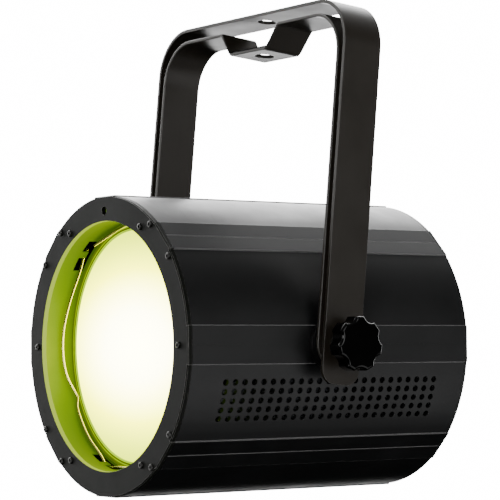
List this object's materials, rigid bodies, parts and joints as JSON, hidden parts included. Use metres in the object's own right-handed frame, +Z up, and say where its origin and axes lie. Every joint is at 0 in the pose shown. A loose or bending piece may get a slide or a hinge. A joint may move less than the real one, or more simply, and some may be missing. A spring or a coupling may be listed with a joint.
{
  "type": "par can light",
  "caption": "Stage par can light: ribbed black can, flat front ring, deep lit snoot with a diffuser lens, vented sides, nested double bracket and star clamp knobs.",
  "frame": {"origin": "centre of the hanging hole, on the top face of the outer bracket", "axes": "+Z up, -Y the way the beam leaves, +X towards the right-hand knob seen from behind the lens; the brackets lean 5.6 degrees back about X"},
  "size_m": [0.319, 0.2986, 0.3975],
  "materials": {
    "can_paint": "satin black powder coat on extruded aluminium",
    "ring_paint": "matt black powder coat on sheet",
    "bracket_paint": "satin black powder coat on bent steel strap",
    "knob_plastic": "moulded glossy black nylon",
    "plated_steel": "bright plated steel",
    "black_steel": "black oxide steel",
    "nylon": "black nylon",
    "snoot_enamel": "pale enamel, lit lime green by the lamp",
    "lens": "frosted diffuser, lit",
    "gasket_silicone": "translucent silicone, lit by the lens",
    "reflector_aluminium": "spun and brightened",
    "bare_aluminium": "extruded, bare",
    "led_phosphor": "phosphor gel over the LED dies",
    "zinc_steel": "zinc plated sheet",
    "circuit_board": "green solder mask",
    "display_glass": "dark display window",
    "contact_brass": "plated brass contacts",
    "connector_shell": "black painted zinc die casting",
    "connector_plastic": "black moulded plastic",
    "button_rubber": "grey silicone key"
  },
  "bodies": {
    "outer_bracket": {"outer_bracket": "bracket_paint"},
    "inner_bracket": {"inner_bracket": "bracket_paint", "arm_washer_left": "nylon", "arm_washer_right": "nylon"},
    "clamp_washer_right": {"clamp_washer_right": "black_steel"},
    "knob_right": {"star_knob_right": "knob_plastic", "knob_stud_right": "plated_steel"},
    "clamp_washer_left": {"clamp_washer_left": "black_steel"},
    "knob_left": {"star_knob_left": "knob_plastic", "knob_stud_left": "plated_steel"},
    "fan_rotor": {"fan_rotor": "connector_plastic"},
    "data_latch": {"data_latch": "connector_plastic"},
    "menu_button_1": {"menu_button_1": "button_rubber"},
    "menu_button_2": {"menu_button_2": "button_rubber"},
    "menu_button_3": {"menu_button_3": "button_rubber"},
    "menu_button_4": {"menu_button_4": "button_rubber"},
    "lamp": {"button_switches": "connector_plastic", "can_bottom": "can_paint", "can_left": "can_paint", "can_right": "can_paint", "can_top": "can_paint", "connector_screws": "black_steel", "control_board": "circuit_board", "control_board_standoffs": "zinc_steel", "core_bracket_left": "zinc_steel", "core_bracket_right": "zinc_steel", "data_inlet": "connector_shell", "data_inlet_pins": "contact_brass", "data_outlet": "connector_shell", "diffuser_lens": "lens", "display_module": "display_glass", "display_window": "display_glass", "fan_frame": "connector_plastic", "front_ring": "ring_paint", "fuse_holder": "connector_plastic", "heat_sink": "bare_aluminium", "led_board": "bare_aluminium", "led_emitter": "led_phosphor", "led_holder": "connector_plastic", "lens_gasket": "gasket_silicone", "lens_retaining_wire": "plated_steel", "pivot_bush_left": "plated_steel", "pivot_bush_right": "plated_steel", "pivot_plate_left": "zinc_steel", "pivot_plate_right": "zinc_steel", "pivot_spacer_left": "nylon", "pivot_spacer_right": "nylon", "power_inlet": "connector_plastic", "power_inlet_blades": "contact_brass", "power_outlet": "connector_plastic", "power_supply": "zinc_steel", "power_supply_standoffs": "zinc_steel", "rear_panel": "can_paint", "rear_panel_screws": "black_steel", "reflector": "reflector_aluminium", "ring_rim_screws": "black_steel", "safety_eye": "plated_steel", "snoot": "snoot_enamel", "snoot_flange_screws": "black_steel"}
  },
  "joints": [
    {"name": "lamp_tilt", "type": "hinge", "parent": "outer_bracket", "child": "lamp", "pos_m": [0, -0.02703, -0.27568], "axis": [1, 0, 0], "range_deg": [-180, 180]},
    {"name": "inner_bracket_swing", "type": "hinge", "parent": "outer_bracket", "child": "inner_bracket", "pos_m": [0, -0.02703, -0.27568], "axis": [1, 0, 0], "range_deg": [-180, 180]},
    {"name": "fan_spin", "type": "hinge", "parent": "lamp", "child": "fan_rotor", "pos_m": [0, 0.03797, -0.27568], "axis": [0, 1, 0], "continuous": true},
    {"name": "data_latch_press", "type": "slide", "parent": "lamp", "child": "data_latch", "axis": [0, -1, 0], "range_m": [0, 0.0012], "stiffness_N_per_m": 400, "springref_m": -0.0005},
    {"name": "clamp_washer_right_slide", "type": "slide", "parent": "lamp", "child": "clamp_washer_right", "axis": [1, 0, 0], "range_m": [0, 0.0025]},
    {"name": "knob_right_turn", "type": "hinge", "parent": "clamp_washer_right", "child": "knob_right", "pos_m": [0.148, -0.02703, -0.27568], "axis": [1, 0, 0], "range_deg": [0, 721]},
    {"name": "clamp_washer_left_slide", "type": "slide", "parent": "lamp", "child": "clamp_washer_left", "axis": [-1, 0, 0], "range_m": [0, 0.0025]},
    {"name": "knob_left_turn", "type": "hinge", "parent": "clamp_washer_left", "child": "knob_left", "pos_m": [-0.148, -0.02703, -0.27568], "axis": [-1, 0, 0], "range_deg": [0, 721]},
    {"name": "menu_button_1_press", "type": "slide", "parent": "lamp", "child": "menu_button_1", "axis": [0, -1, 0], "range_m": [0, 0.001], "stiffness_N_per_m": 300, "springref_m": -0.0005},
    {"name": "menu_button_2_press", "type": "slide", "parent": "lamp", "child": "menu_button_2", "axis": [0, -1, 0], "range_m": [0, 0.001], "stiffness_N_per_m": 300, "springref_m": -0.0005},
    {"name": "menu_button_3_press", "type": "slide", "parent": "lamp", "child": "menu_button_3", "axis": [0, -1, 0], "range_m": [0, 0.001], "stiffness_N_per_m": 300, "springref_m": -0.0005},
    {"name": "menu_button_4_press", "type": "slide", "parent": "lamp", "child": "menu_button_4", "axis": [0, -1, 0], "range_m": [0, 0.001], "stiffness_N_per_m": 300, "springref_m": -0.0005}
  ],
  "couplings": [
    {"joint": "knob_right_turn", "follows": "clamp_washer_right_slide", "rad_per_m": 5026.5},
    {"joint": "knob_left_turn", "follows": "clamp_washer_left_slide", "rad_per_m": 5026.5}
  ]
}
